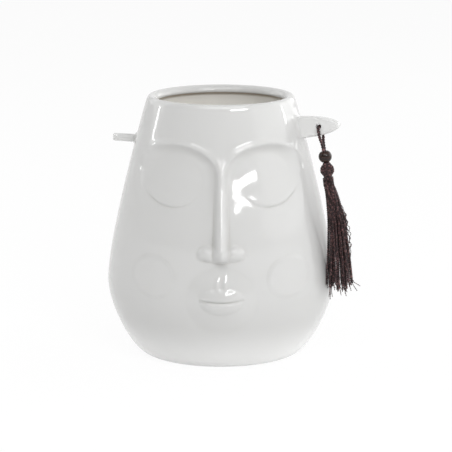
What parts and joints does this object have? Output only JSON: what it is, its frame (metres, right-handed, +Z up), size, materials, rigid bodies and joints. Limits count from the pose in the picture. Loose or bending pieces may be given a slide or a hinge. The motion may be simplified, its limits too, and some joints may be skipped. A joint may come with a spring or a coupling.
{
  "type": "face vase",
  "caption": "White glazed pear-shaped vase with a relief face, flat ears and a dark tassel with a wooden bead hanging from one ear.",
  "frame": {"origin": "centre of the foot on the plane the vase stands on", "axes": "+Z up along the body's axis, -Y towards the viewer of the face, +X towards the ear with the tassel"},
  "size_m": [0.1864, 0.1593, 0.2],
  "materials": {
    "glazed_ceramic": "white gloss glaze",
    "cord": "twisted cord",
    "stained_wood": "dark stained and lacquered",
    "yarn": "twisted yarn"
  },
  "bodies": {
    "vase": {"vase_body": "glazed_ceramic", "left_ear": "glazed_ceramic", "right_ear": "glazed_ceramic"},
    "loop": {"hanging_loop": "cord"},
    "bead": {"wooden_bead": "stained_wood"},
    "tassel": {"tassel_head": "yarn", "neck_binding": "yarn", "tassel_skirt": "yarn"}
  },
  "joints": [
    {"name": "loop_swing", "type": "hinge", "parent": "vase", "child": "loop", "pos_m": [0.07414, -0.02461, 0.17926], "axis": [-0.3746, -0.9272, 0], "range_deg": [0, 40]},
    {"name": "bead_slide", "type": "slide", "parent": "loop", "child": "bead", "axis": [-0.1928, 0.0779, 0.9781], "range_m": [0, 0.0026]},
    {"name": "tassel_swing", "type": "hinge", "parent": "loop", "child": "tassel", "pos_m": [0.07954, -0.02679, 0.15187], "axis": [0.9272, -0.3746, 0], "range_deg": [-28, 28]}
  ]
}
